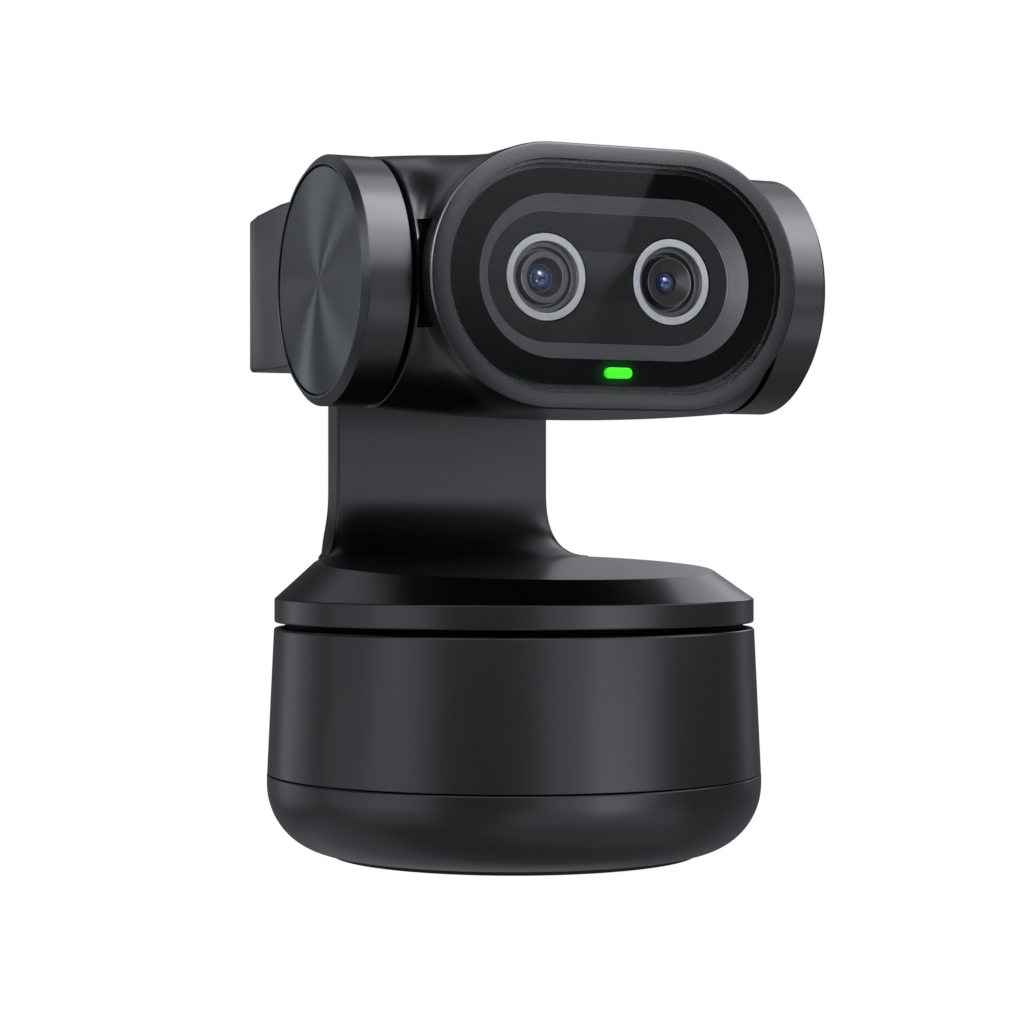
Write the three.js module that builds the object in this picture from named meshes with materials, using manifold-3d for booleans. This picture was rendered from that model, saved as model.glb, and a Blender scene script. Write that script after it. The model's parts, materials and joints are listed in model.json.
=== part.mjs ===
// Desktop pan-tilt camera: a round weighted base, a turntable with a neck plate at its rear, a rear
// housing whose two arms end in round drums, and a two-lens camera head that tilts between the drums.
// Millimetres. +Z up, the lenses face -Y, the origin is the centre of the base on its supporting plane.
import * as THREE from "three";
import { mergeVertices } from "three/addons/utils/BufferGeometryUtils.js";
import Module from "manifold-3d";

const wasm = await Module();
wasm.setup();

// ---- driving dimensions ----
const BASE_R = 28; // widest radius, at the line where the two base shells meet
const PARTING_Z = 9.3; // height of that line
const RIM_R = 27.2; // the upper shell tapers to this radius
const RIM_Z = 25.65; // top of the base
const FLOOR_Z = 0.45; // underside of the lower shell; the foot ring stands this much proud
const BOWL = { r: 20.5, z: 8.1, a: 7.5, b: 7.7 }; // quarter ellipse of the bowl: centre and half axes
const FOOT = { inner: 15.5, outer: 20.9, top: 1.3 };
const WALL = 1.7;

const DECK_Z = 25; // deck of the upper shell under the turntable
const TABLE_R = 27.15;
const TABLE_Z = 26.25; // underside of the turntable's rim
const BAND_TOP_Z = 28.9; // top of its upright band, where the chamfer starts
const TOP_R = 22.6; // circle where the chamfer meets the sloping top
const TOP_Z = 32.6; // height of the top at the pan axis
const TOP_SLOPE = 0.052; // the top rises towards the neck by this much per millimetre

const NECK = { half: 13.75, front: 19.9, rear: 23.2, top: 54.8, fillet: 8.3, sweepZ: 41.7 };
const HOUSING = { half: 23.6, front: 5.2, bottom: 55.1, top: 73.9, wall: 1.6 };
const COVER = { front: 22, half: 20.75, low: 57.2, high: 71.2 }; // rear cover: inner face and outline

const AXIS = { y: -9.75, z: 63.2 }; // tilt axis, parallel to X
const ARM = { inner: 22.2, outer: 23.6, r: 12 }; // distances from the middle plane
const CAP = { r: 13.35, inner: 22.2, edge: 26.9, face: 27.6, faceR: 12.5, bore: 12.3, floor: 25.7 };
const DISC = { r: 12.1, back: 26.95, front: 27.45 };
const HEAD_END = 21.6; // the head's end faces
const FACE = 16.45; // bezel face, measured forwards from the tilt axis
const BEZEL = { straight: 7.65, r: 13.95 }; // oblong outline: half of its straight part, and end radius
const GLASS = { straight: 7.35, r: 12.14, back: 15.95, front: 16.4 };
const RECESS = { straight: 7.3, outer: 8.59, inner: 6.84, depth: 1.7 };
const LENS_X = 7.4; // each lens from the middle plane
const RUN = 0.3; // working gap between neighbouring pieces

const FINE = 40; // sides of the large round shapes
const MEDIUM = 28;
const SMALL = 12;

// ---- materials ----
const material = (color, roughness, metalness = 0) =>
  new THREE.MeshStandardMaterial({ color, roughness, metalness });
const FINISH = {
  housing: [0x33363a, 0.42, 0.35],
  black: [0x0a0a0b, 0.5],
  rubber: [0x0d0d0e, 0.9],
  spun: [0x3d4347, 0.3, 0.9],
  glass: [0x050506, 0.04],
  ring: [0xc9cbcd, 0.3, 0.9],
  lens: [0x1b2146, 0.02],
  led: [0x2cf018, 0.3],
  steel: [0x8d9094, 0.35, 1],
  brass: [0xb08d4a, 0.35, 1],
  aluminium: [0xa6a9ac, 0.4, 1],
  board: [0x12402a, 0.6],
  flex: [0x9a5a1e, 0.5],
};

// ---- solids ----
// A closed geometry as a manifold solid, turned to face outwards.
function solid(geometry) {
  const bare = geometry.clone();
  bare.deleteAttribute("normal");
  bare.deleteAttribute("uv");
  const merged = mergeVertices(bare, 1e-4);
  const vertProperties = new Float32Array(merged.attributes.position.array);
  const make = (triVerts) =>
    new wasm.Manifold(new wasm.Mesh({ numProp: 3, vertProperties, triVerts }));
  const faces = new Uint32Array(merged.index.array);
  const made = make(faces);
  return made.volume() >= 0 ? made : make(faces.slice().reverse());
}

function geometryOf(shape) {
  const mesh = shape.getMesh();
  const points = new Float32Array(mesh.numVert * 3);
  for (let i = 0; i < mesh.numVert; i++) {
    const start = i * mesh.numProp;
    points.set(mesh.vertProperties.subarray(start, start + 3), i * 3);
  }
  const geometry = new THREE.BufferGeometry();
  geometry.setAttribute("position", new THREE.BufferAttribute(points, 3));
  geometry.setIndex(new THREE.BufferAttribute(mesh.triVerts, 1));
  geometry.computeVertexNormals();
  return geometry;
}

const joined = (shapes) => shapes.reduce((a, b) => a.add(b));
const without = (shape, cutters) => cutters.reduce((a, b) => a.subtract(b), shape);

// A profile of [radius, height] pairs turned round the Z axis. It closes on itself or runs along the axis.
function turned(profile, sides = FINE) {
  const closed = profile[0][0] > 0 ? [...profile, profile[0]] : profile;
  const points = closed.map(([r, h]) => new THREE.Vector2(r, h));
  return new THREE.LatheGeometry(points, sides).rotateX(Math.PI / 2);
}
// The same round the X axis, heights counted along +X, or along -X when side is -1.
const turnedX = (profile, sides, side = 1) => turned(profile, sides).rotateY((side * Math.PI) / 2);
// The same round the line of sight, heights counted forwards (-Y).
const turnedFront = (profile, sides) => turned(profile, sides).rotateX(Math.PI / 2);

const annulus = (inner, outer, low, high) => [
  [inner, low],
  [outer, low],
  [outer, high],
  [inner, high],
];
const rod = (r, low, high) => [
  [0, low],
  [r, low],
  [r, high],
  [0, high],
];

function box(x0, x1, y0, y1, z0, z1) {
  const shape = new THREE.BoxGeometry(x1 - x0, y1 - y0, z1 - z0);
  return shape.translate((x0 + x1) / 2, (y0 + y1) / 2, (z0 + z1) / 2);
}
const slab = (half, y0, y1, z0, z1) => box(-half, half, y0, y1, z0, z1);

// An outline of [y, z] points, extruded to both sides of the middle plane.
function sideProfile(outline, half) {
  const shape = new THREE.Shape(outline.map(([y, z]) => new THREE.Vector2(y, z)));
  const block = new THREE.ExtrudeGeometry(shape, { depth: 2 * half, bevelEnabled: false });
  return block.rotateX(Math.PI / 2).rotateZ(Math.PI / 2).translate(-half, 0, 0);
}

// Rings of equally many points, skinned one to the next and closed at both ends.
function skinned(rings) {
  const count = rings[0].length;
  const middle = (ring) =>
    ring.reduce((sum, p) => sum.add(p), new THREE.Vector3()).divideScalar(count);
  const points = [...rings.flat(), middle(rings[0]), middle(rings.at(-1))];
  const faces = [];
  for (let j = 0; j < count; j++) {
    const k = (j + 1) % count;
    for (let i = 0; i + 1 < rings.length; i++) {
      const row = i * count;
      faces.push(row + j, row + k, row + count + k, row + j, row + count + k, row + count + j);
    }
    const last = (rings.length - 1) * count;
    faces.push(points.length - 2, k, j, points.length - 1, last + j, last + k);
  }
  const geometry = new THREE.BufferGeometry().setFromPoints(points);
  return geometry.setIndex(faces);
}

// One oblong outline in an upright plane, `forward` of the tilt axis.
function oblong(straight, r, forward, sides = MEDIUM) {
  const ring = [];
  for (let i = 0; i < sides; i++) {
    const angle = ((i + 0.5) / sides) * 2 * Math.PI;
    const end = Math.sign(Math.cos(angle)) * straight;
    ring.push(new THREE.Vector3(end + r * Math.cos(angle), -forward, r * Math.sin(angle)));
  }
  return ring;
}
const oblongBlock = (straight, r, back, front, sides) =>
  skinned([oblong(straight, r, back, sides), oblong(straight, r, front, sides)]);

function arc(cy, cz, a, b, from, to, steps) {
  const points = [];
  for (let i = 0; i <= steps; i++) {
    const angle = THREE.MathUtils.degToRad(from + ((to - from) * i) / steps);
    points.push([cy + a * Math.cos(angle), cz + b * Math.sin(angle)]);
  }
  return points;
}

// Copies of a geometry spread evenly round the pan axis.
function around({ count, r, start }, make) {
  return Array.from({ length: count }, (_, i) => {
    const angle = THREE.MathUtils.degToRad(start + (i * 360) / count);
    return make().translate(r * Math.cos(angle), r * Math.sin(angle), 0);
  });
}
const rodsAround = (spots, r, low, high) =>
  around(spots, () => turned(rod(r, low, high), SMALL)).map(solid);

// ---- the assembly ----
const camera = new THREE.Group();
const panGroup = new THREE.Group();
const armGroup = new THREE.Group(); // pieces of the panning body that are set out from the tilt axis
const headGroup = new THREE.Group();
armGroup.position.set(0, AXIS.y, AXIS.z);
headGroup.position.set(0, AXIS.y, AXIS.z);
panGroup.add(armGroup, headGroup);
camera.add(panGroup);

function place(group, name, finish, shape) {
  const geometry = shape.isBufferGeometry ? geometryOf(solid(shape)) : geometryOf(shape);
  const mesh = new THREE.Mesh(geometry, material(...FINISH[finish]));
  mesh.name = name;
  group.add(mesh);
}

// ---- base ----
const SCREW_RING = { r: 18, start: 30, count: 3 };
const BOSS_TOP = 8.6;
const screwRing = (r, low, high) => rodsAround(SCREW_RING, r, low, high);
const USB = { z: 14.05, half: 4.47, r: 1.63, rear: 27.2, depth: 7.2 };

function usbOutline(grow, y0, y1) {
  const block = oblongBlock(USB.half - USB.r, USB.r + grow, -y1, -y0, SMALL);
  return solid(block.translate(0, 0, USB.z));
}

function lowerShell() {
  const outerStart = -83.5; // where the bowl reaches the underside
  const outer = arc(BOWL.r, BOWL.z, BOWL.a, BOWL.b, outerStart, 0, 6);
  const inner = arc(BOWL.r, BOWL.z, BOWL.a - WALL, BOWL.b - 2, 0, -90, 3);
  const shell = solid(
    turned([
      [5.1, FLOOR_Z],
      [FOOT.inner - 0.2, FLOOR_Z],
      [FOOT.inner - 0.2, FOOT.top + 0.05],
      [FOOT.outer + 0.15, FOOT.top + 0.05],
      [FOOT.outer + 0.15, FLOOR_Z],
      ...outer,
      [BASE_R, PARTING_Z - 0.05],
      [BASE_R - WALL, PARTING_Z - 0.05],
      ...inner,
      [6.9, BOWL.z - BOWL.b + 2],
      [6.9, 7.2],
      [5.1, 7.2],
    ]),
  );
  const bosses = screwRing(2.7, 2, BOSS_TOP);
  return without(joined([shell, ...bosses]), [...screwRing(1.3, 1, 9), ...screwRing(2.1, 1, 3.2)]);
}

function upperShell() {
  const shell = solid(
    turned([
      [BASE_R - 0.02, PARTING_Z + 0.05],
      [RIM_R, RIM_Z - 0.25],
      [RIM_R - 0.25, RIM_Z],
      [26.3, RIM_Z],
      [26.3, DECK_Z],
      [10.4, DECK_Z],
      [10.4, 22],
      [12.6, 22],
      [12.6, 23.4],
      [25, 23.4],
      [25, 8],
      [25.9, 8],
      [25.9, PARTING_Z + 0.05],
    ]),
  );
  const posts = screwRing(2.5, 8.9, 24);
  return without(joined([shell, ...posts]), [...screwRing(1.25, 8, 15), usbOutline(0.35, 24, 29)]);
}

place(camera, "foot_pad", "rubber", turned(annulus(FOOT.inner, FOOT.outer, 0, FOOT.top)));
place(camera, "base_lower_shell", "housing", lowerShell());
place(camera, "base_upper_shell", "housing", upperShell());
place(
  camera,
  "tripod_nut",
  "brass",
  turned(
    [
      [0, 8.4],
      [6.4, 8.4],
      [6.4, 7.35],
      [4.9, 7.35],
      [4.9, 0.75],
      [3.175, 0.75],
      [3.175, 7.6],
      [0, 7.6],
    ],
    24,
  ),
);
place(camera, "base_weight", "steel", turned(annulus(7.4, 14.9, 2.7, 4.9), MEDIUM));
place(
  camera,
  "main_board",
  "board",
  without(
    solid(turned(annulus(7.6, 23.5, 5.3, 6.5), MEDIUM)),
    screwRing(3.1, 5, 7),
  ),
);
place(
  camera,
  "usb_c_socket",
  "steel",
  without(usbOutline(0, USB.rear - USB.depth, USB.rear), [
    usbOutline(-0.3, USB.rear - USB.depth + 1.2, USB.rear + 1),
  ]),
);
place(camera, "usb_c_tongue", "black", slab(3.35, 21.6, 26.6, USB.z - 0.35, USB.z + 0.35));
place(camera, "usb_board", "board", slab(6, 15.8, 24, 10.9, 12.1));
place(
  camera,
  "pan_motor_stator",
  "steel",
  turned(
    [
      [3, 10.2],
      [15, 10.2],
      [15, 21.7],
      [11.5, 21.7],
      [11.5, 11.6],
      [3, 11.6],
    ],
    MEDIUM,
  ),
);
place(camera, "pan_bearing", "steel", turned(annulus(6.2, 10.1, 22.2, 24.8), MEDIUM));
const baseScrew = [
  [0, 1.7],
  [1.8, 1.7],
  [1.8, 2.9],
  [1, 3],
  [1, 13.5],
  [0, 13.5],
];
around(SCREW_RING, () => turned(baseScrew, SMALL)).forEach((screw, i) => {
  place(camera, "base_screw_" + (i + 1), "steel", screw);
});

// ---- turntable, neck and rear housing ----
const HUB = { plateR: 25.35, low: 26.35, high: 27.9 };
const HUB_SCREWS = { r: 20, start: 60, count: 3 };
const TONGUE = { half: 12.5, rear: 21.3, top: 71 };
const CABLE_HALF = 4; // half width of the channel in the neck's rear face

const hubRing = (r, low, high) => rodsAround(HUB_SCREWS, r, low, high);
const neckScrewSpots = [-1, 1].flatMap((side) => [59.5, 68].map((z) => [side * 8.5, z]));
const neckRods = (r, y0, y1) =>
  neckScrewSpots.map(([x, z]) => solid(turnedFront(rod(r, -y1, -y0), SMALL).translate(x, 0, z)));

function yokeFrame() {
  const level = (r, height) => {
    const ring = [];
    for (let i = 0; i < FINE; i++) {
      const angle = (i / FINE) * 2 * Math.PI;
      const y = r * Math.sin(angle);
      ring.push(new THREE.Vector3(r * Math.cos(angle), y, height(y)));
    }
    return ring;
  };
  const table = solid(
    skinned([
      level(TABLE_R, () => TABLE_Z),
      level(TABLE_R, () => BAND_TOP_Z),
      level(TOP_R, (y) => TOP_Z + TOP_SLOPE * y),
    ]),
  );
  const sweep = arc(NECK.front - NECK.fillet, NECK.sweepZ, NECK.fillet, NECK.fillet, -90, 0, 6);
  const neck = solid(
    sideProfile(
      [
        [NECK.front - NECK.fillet, TOP_Z - 1.1],
        ...sweep,
        [NECK.front, NECK.top],
        [NECK.rear, NECK.top],
        [NECK.rear, BAND_TOP_Z],
        [NECK.front - 2, BAND_TOP_Z],
      ],
      NECK.half,
    ),
  );
  const tongue = solid(slab(TONGUE.half, NECK.front, TONGUE.rear, NECK.top - 1, TONGUE.top));
  const hollow = solid(
    turned([
      [0, TABLE_Z - 1],
      [HUB.plateR + RUN, TABLE_Z - 1],
      [HUB.plateR + RUN, 28.1],
      [21.4, 30.6],
      [0, 30.6],
    ]),
  );
  const channel = solid(slab(CABLE_HALF, TONGUE.rear, NECK.rear + 1, 29, NECK.top + 1));
  const hollowed = without(joined([table, neck, tongue]), [hollow, channel, ...neckRods(1.1, 19, 22)]);
  return without(joined([hollowed, ...hubRing(2.2, 28.2, 31.4)]), hubRing(1.1, 28, 30.4));
}

function panHub() {
  const turning = solid(
    turned([
      [4, 11.9],
      [6, 11.9],
      [6, 25.1],
      [8, 25.1],
      [8, HUB.low],
      [HUB.plateR, HUB.low],
      [HUB.plateR, HUB.high],
      [4, HUB.high],
    ]),
  );
  return without(turning, [...hubRing(1.8, 26, 27.3), ...hubRing(1.1, 26, 28.5)]);
}

// Side view of the housing: its top falls a little towards the rear and ends in a chamfer.
const housingOutline = [
  [HOUSING.front, HOUSING.bottom],
  [NECK.rear - 0.5, HOUSING.bottom],
  [NECK.rear, HOUSING.bottom + 0.5],
  [NECK.rear, HOUSING.top - 1],
  [NECK.rear - 2.6, HOUSING.top - 0.5],
  [NECK.rear - 10.2, HOUSING.top],
  [HOUSING.front, HOUSING.top],
];

function rearHousing() {
  const { half, front, bottom, top, wall } = HOUSING;
  const armX = (ARM.inner + ARM.outer) / 2;
  const arms = [-1, 1].flatMap((side) => [
    solid(turnedX(rod(ARM.r, ARM.inner, ARM.outer), FINE, side).translate(0, AXIS.y, AXIS.z)),
    solid(slab((ARM.outer - ARM.inner) / 2, AXIS.y, front + 1, bottom, top).translate(side * armX, 0, 0)),
  ]);
  const body = joined([solid(sideProfile(housingOutline, half)), ...arms]);
  const inside = slab(half - wall, front + wall, COVER.front - 0.1, bottom + wall, top - wall - 0.5);
  const seat = { half: COVER.half + 0.25, low: COVER.low - 0.25, high: COVER.high + 0.25 };
  const rearOpening = slab(seat.half, COVER.front - 1, NECK.rear + 1, seat.low, seat.high);
  const tongueSlot = slab(TONGUE.half + RUN, NECK.front - RUN, COVER.front, bottom - 1, bottom + wall + 1);
  const axleHole = turnedX(rod(1.8, -30, 30), SMALL).translate(0, AXIS.y, AXIS.z);
  const open = without(body, [inside, rearOpening, tongueSlot, axleHole].map(solid));
  const pillars = neckRods(2.2, front + 1, NECK.front - RUN);
  return without(joined([open, ...pillars]), neckRods(1.1, 12, 20));
}

function endCap(side) {
  const cup = turnedX(
    [
      [0, CAP.floor],
      [CAP.bore, CAP.floor],
      [CAP.bore, CAP.inner],
      [CAP.r, CAP.inner],
      [CAP.r, CAP.edge],
      [CAP.faceR, CAP.face],
      [DISC.r + 0.15, CAP.face],
      [DISC.r + 0.15, DISC.back - 0.05],
      [0, DISC.back - 0.05],
    ],
    FINE,
    side,
  );
  const [x0, x1] = side > 0 ? [CAP.inner - 1, ARM.outer + RUN] : [-ARM.outer - RUN, 1 - CAP.inner];
  const low = HOUSING.bottom - AXIS.z - RUN;
  const high = HOUSING.top - AXIS.z + RUN;
  return without(solid(cup), [solid(box(x0, x1, 0, 20, low, high))]);
}

place(panGroup, "pan_hub", "aluminium", panHub());
place(panGroup, "pan_motor_rotor", "steel", turned(annulus(6.3, 11.1, 12.2, 20.6), MEDIUM));
place(panGroup, "yoke_frame", "housing", yokeFrame());
hubRing(1, 26.5, 30).forEach((shank, i) => {
  place(panGroup, "hub_screw_" + (i + 1), "steel", shank.add(hubRing(1.6, 26.45, 27.1)[i]));
});
const neckCover = slab(CABLE_HALF - RUN, 21.85, NECK.rear - 0.05, 31.2, NECK.top - 0.1);
place(panGroup, "neck_cover", "housing", neckCover);
place(panGroup, "flex_cable", "flex", slab(3, 21.45, 21.7, 29.6, 70));
place(panGroup, "rear_housing", "housing", rearHousing());
place(panGroup, "rear_cover", "housing", slab(COVER.half, COVER.front, NECK.rear, COVER.low, COVER.high));
place(
  panGroup,
  "driver_board",
  "board",
  without(solid(slab(19, 15, 16.2, 57.5, 71)), neckRods(2.5, 14, 17)),
);
neckRods(0.85, 13, 21.5).forEach((shank, i) => {
  place(panGroup, "neck_screw_" + (i + 1), "steel", shank.add(neckRods(1.6, 21.4, 21.82)[i]));
});

const SIDES = [
  ["left", -1],
  ["right", 1],
];
for (const [word, side] of SIDES) {
  place(armGroup, word + "_end_cap", "housing", endCap(side));
  place(armGroup, word + "_cap_disc", "spun", turnedX(rod(DISC.r, DISC.back, DISC.front), FINE, side));
  const axle = [
    [0, 16.5],
    [1.5, 16.5],
    [1.5, 23.8],
    [3.6, 23.8],
    [3.6, 25.3],
    [0, 25.3],
  ];
  place(armGroup, word + "_tilt_axle", "steel", turnedX(axle, SMALL, side));
}

// ---- tilting head, set out from the tilt axis ----
const SHELL_FRONT = 14.55; // the shell ends here and the bezel sits on it

function headShell() {
  const profile = [
    [0, HEAD_END],
    [13, HEAD_END],
    [13.4, HEAD_END - 0.4],
    [13.85, 16],
    [14.3, 11.4],
    [14.4, 6],
  ];
  const mirrored = profile.map(([r, x]) => [r, -x]).reverse();
  const barrel = solid(turnedX([...profile, ...mirrored], FINE));
  const front = solid(oblongBlock(BEZEL.straight, BEZEL.r, 0, SHELL_FRONT, FINE));
  const bore = solid(turnedX(rod(11.6, -20.4, 20.4), MEDIUM));
  const chamber = solid(oblongBlock(GLASS.straight, 11.5, 5, 16, MEDIUM));
  const axleHole = solid(turnedX(rod(1.9, -25, 25), SMALL));
  const notches = [-1, 1].map((side) => {
    const [x0, x1] = side > 0 ? [19.3, 21.25] : [-21.25, -19.3];
    return solid(box(x0, x1, -14.1, -12.3, -5.6, 5.6));
  });
  return without(barrel.add(front), [bore, chamber, axleHole, ...notches]);
}

function frontBezel() {
  const ring = solid(
    skinned([
      oblong(BEZEL.straight, BEZEL.r, SHELL_FRONT + 0.1, FINE),
      oblong(BEZEL.straight, BEZEL.r, FACE - 0.4, FINE),
      oblong(BEZEL.straight, BEZEL.r - 0.4, FACE, FINE),
    ]),
  );
  const window = oblongBlock(GLASS.straight, 11.5, 14, 16, MEDIUM);
  const glassSeat = oblongBlock(GLASS.straight, GLASS.r + 0.1, GLASS.back - 0.05, FACE + 1, FINE);
  return without(ring, [window, glassSeat].map(solid));
}

function lensMask() {
  const back = 13;
  const face = GLASS.back - 0.1;
  const frame = solid(oblongBlock(GLASS.straight, 11.3, back, face, MEDIUM));
  const recess = solid(
    skinned([
      oblong(RECESS.straight, RECESS.inner, back - 1),
      oblong(RECESS.straight, RECESS.inner, face - RECESS.depth),
      oblong(RECESS.straight, RECESS.outer, face),
      oblong(RECESS.straight, RECESS.outer, face + 1),
    ]),
  );
  const ledHole = solid(oblongBlock(0.95, 0.7, back - 1, face + 1, SMALL).translate(0, 0, -10));
  return without(frame, [recess, ledHole]);
}

place(headGroup, "head_shell", "housing", headShell());
place(headGroup, "front_bezel", "housing", frontBezel());
place(headGroup, "cover_glass", "glass", oblongBlock(GLASS.straight, GLASS.r, GLASS.back, GLASS.front, FINE));
place(headGroup, "lens_mask", "black", lensMask());
place(headGroup, "status_led", "led", oblongBlock(0.95, 0.55, 14.2, 15.8, SMALL).translate(0, 0, -10));
place(
  headGroup,
  "lens_plate",
  "black",
  without(
    solid(oblongBlock(RECESS.straight, RECESS.inner - 0.15, 13.1, 14.1)),
    [-1, 1].map((side) => solid(turnedFront(rod(4.8, 12, 15), 24).translate(side * LENS_X, 0, 0))),
  ),
);
place(headGroup, "sensor_board", "board", slab(13, -4, -2.8, -6.5, 6.5));
place(headGroup, "heat_spreader", "aluminium", slab(12.5, -2.3, -0.6, -6, 6));
place(headGroup, "tilt_motor", "steel", turnedX(annulus(1.75, 7.5, 13.9, 20.2), 24, -1));
place(headGroup, "tilt_bearing", "steel", turnedX(annulus(1.75, 4, 17.6, 20.2), 24));
for (const [word, side] of SIDES) {
  const beside = (shape) => shape.translate(side * LENS_X, 0, 0);
  place(headGroup, word + "_lens_ring", "ring", beside(turnedFront(annulus(3.76, 4.61, 13.2, 14.05), 24)));
  const barrel = [
    [0, 5.3],
    [3.5, 5.3],
    [3.5, 13.7],
    [2.7, 13.7],
    [1.7, 12.1],
    [0, 12.1],
  ];
  place(headGroup, word + "_lens_barrel", "black", beside(turnedFront(barrel, 24)));
  const dome = [
    [0, 12.2],
    [1.4, 12.2],
    [1.4, 12.4],
    [0.8, 12.75],
    [0, 12.9],
  ];
  place(headGroup, word + "_lens_glass", "lens", beside(turnedFront(dome, SMALL)));
  place(headGroup, word + "_image_sensor", "black", beside(slab(2.8, -4.95, -4.15, -2.2, 2.2)));
}

export default camera;
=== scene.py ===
"""Looks of a desktop pan-tilt camera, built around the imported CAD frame.

Shapes are made in millimetres in the frame's own axes (+Z up, lenses towards -Y) and scaled to metres.
Sizes are read from the CAD nodes' boxes, with the small edge radii and grooves added here.
"""
import json
import math

import bmesh
import bpy
import numpy as np
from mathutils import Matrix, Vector

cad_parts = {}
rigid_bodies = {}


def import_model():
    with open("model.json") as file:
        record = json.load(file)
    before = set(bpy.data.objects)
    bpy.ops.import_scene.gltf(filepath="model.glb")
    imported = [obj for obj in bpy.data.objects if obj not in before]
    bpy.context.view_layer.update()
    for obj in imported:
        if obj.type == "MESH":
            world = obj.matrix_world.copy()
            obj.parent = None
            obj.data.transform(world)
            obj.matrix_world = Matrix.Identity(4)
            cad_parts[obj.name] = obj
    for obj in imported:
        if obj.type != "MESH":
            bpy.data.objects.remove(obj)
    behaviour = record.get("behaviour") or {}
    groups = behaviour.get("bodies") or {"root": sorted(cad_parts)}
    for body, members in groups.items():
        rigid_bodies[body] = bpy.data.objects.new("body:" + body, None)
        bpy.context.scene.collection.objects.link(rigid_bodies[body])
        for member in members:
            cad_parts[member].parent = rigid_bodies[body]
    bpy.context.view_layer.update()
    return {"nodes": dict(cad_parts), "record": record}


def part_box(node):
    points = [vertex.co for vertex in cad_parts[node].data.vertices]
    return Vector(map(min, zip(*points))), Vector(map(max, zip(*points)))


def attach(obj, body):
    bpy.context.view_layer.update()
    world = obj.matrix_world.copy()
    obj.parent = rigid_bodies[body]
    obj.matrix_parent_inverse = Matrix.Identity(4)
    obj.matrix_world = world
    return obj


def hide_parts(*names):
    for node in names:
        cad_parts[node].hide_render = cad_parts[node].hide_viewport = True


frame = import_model()
MM = 0.001


def span(node):
    """A CAD node's lowest and highest corner, in millimetres."""
    low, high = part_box(node)
    return np.array(low) / MM, np.array(high) / MM


# ---------------------------------------------------------------- sizes from the frame, millimetres
_, BASE_HIGH = span("base_upper_shell")
BOWL_LOW, BOWL_HIGH = span("base_lower_shell")
TABLE_LOW, _ = span("yoke_frame")
_, (HOUSING_HALF, HOUSING_REAR, _) = span("rear_housing")
HOUSING_FRONT = 5.2
HOUSING_LOW, HOUSING_HIGH = 55.1, 73.9  # bottom and top of the block behind the head; its arms reach further
CAP_LOW, CAP_HIGH = span("left_end_cap")
DISC_LOW, DISC_HIGH = span("left_cap_disc")
BEZEL_LOW, BEZEL_HIGH = span("front_bezel")
GLASS_LOW, GLASS_HIGH = span("cover_glass")
_, (HEAD_END, _, _) = span("head_shell")

BASE_R = BOWL_HIGH[0]
PARTING_Z = BOWL_HIGH[2]
RIM_Z = BASE_HIGH[2]
TABLE_R = -TABLE_LOW[1]
TABLE_Z = TABLE_LOW[2]
AXIS_Y = (CAP_LOW[1] + CAP_HIGH[1]) / 2
AXIS_Z = (CAP_LOW[2] + CAP_HIGH[2]) / 2
CAP_R = (CAP_HIGH[2] - CAP_LOW[2]) / 2
CAP_INNER = -CAP_HIGH[0]
CAP_FACE = -CAP_LOW[0]
FACE = AXIS_Y - BEZEL_LOW[1]  # bezel face, forwards of the tilt axis
BEZEL_R = (BEZEL_HIGH[2] - BEZEL_LOW[2]) / 2
BEZEL_STRAIGHT = BEZEL_HIGH[0] - BEZEL_R
GLASS_R = (GLASS_HIGH[2] - GLASS_LOW[2]) / 2
GLASS_STRAIGHT = GLASS_HIGH[0] - GLASS_R
ARM_INNER, ARM_R = 22.2, 12.0
LENS_LOW, LENS_HIGH = span("right_lens_glass")
LENS_X = (LENS_LOW[0] + LENS_HIGH[0]) / 2  # each lens from the middle plane


# ---------------------------------------------------------------- mesh helpers
def fillet(points, steps=5, closed=False):
    """A polyline of (a, b) or (a, b, radius) points with its corners rounded.

    Each round corner gets a guard point on both sides, so that flat faces beside it shade flat."""
    out = []
    count = len(points)
    for i, point in enumerate(points):
        here = np.array(point[:2], float)
        radius = point[2] if len(point) > 2 else 0
        ends = not closed and i in (0, count - 1)
        if radius == 0 or ends:
            out.append(here)
            continue
        before = np.array(points[i - 1][:2], float) - here
        after = np.array(points[(i + 1) % count][:2], float) - here
        room = min(np.linalg.norm(before), np.linalg.norm(after))
        before /= np.linalg.norm(before)
        after /= np.linalg.norm(after)
        half = math.acos(np.clip(before @ after, -1, 1)) / 2
        reach = min(radius / math.tan(half), 0.49 * room)
        radius = reach * math.tan(half)
        middle = here + (before + after) / np.linalg.norm(before + after) * radius / math.sin(half)
        start, stop = here + before * reach, here + after * reach
        guard = min(0.35 * radius, 0.4 * (room - reach))
        if guard > 0.01:
            out.append(start + before * guard)
        a0 = math.atan2(*(start - middle)[::-1])
        turn = math.atan2(*(stop - middle)[::-1]) - a0
        turn = (turn + math.pi) % (2 * math.pi) - math.pi
        for k in range(steps + 1):
            angle = a0 + turn * k / steps
            out.append(middle + radius * np.array([math.cos(angle), math.sin(angle)]))
        if guard > 0.01:
            out.append(stop + after * guard)
    return out


def ellipse_arc(centre, half_axes, start, stop, steps):
    """Points of an ellipse between two angles in degrees."""
    angles = np.radians(np.linspace(start, stop, steps + 1))
    return [(centre[0] + half_axes[0] * math.cos(t), centre[1] + half_axes[1] * math.sin(t)) for t in angles]


def skin(rings, closed_profile=False):
    """Faces between neighbouring rings of equally many points; a ring of one repeated point makes a pole."""
    rings = [np.asarray(r, float) for r in rings]
    count = len(rings[0])
    verts = np.concatenate(rings)
    faces = []
    pairs = list(zip(range(len(rings) - 1), range(1, len(rings))))
    if closed_profile:
        pairs.append((len(rings) - 1, 0))
    for i, k in pairs:
        for j in range(count):
            n = (j + 1) % count
            faces.append((i * count + j, i * count + n, k * count + n, k * count + j))
    return verts, faces


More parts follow.
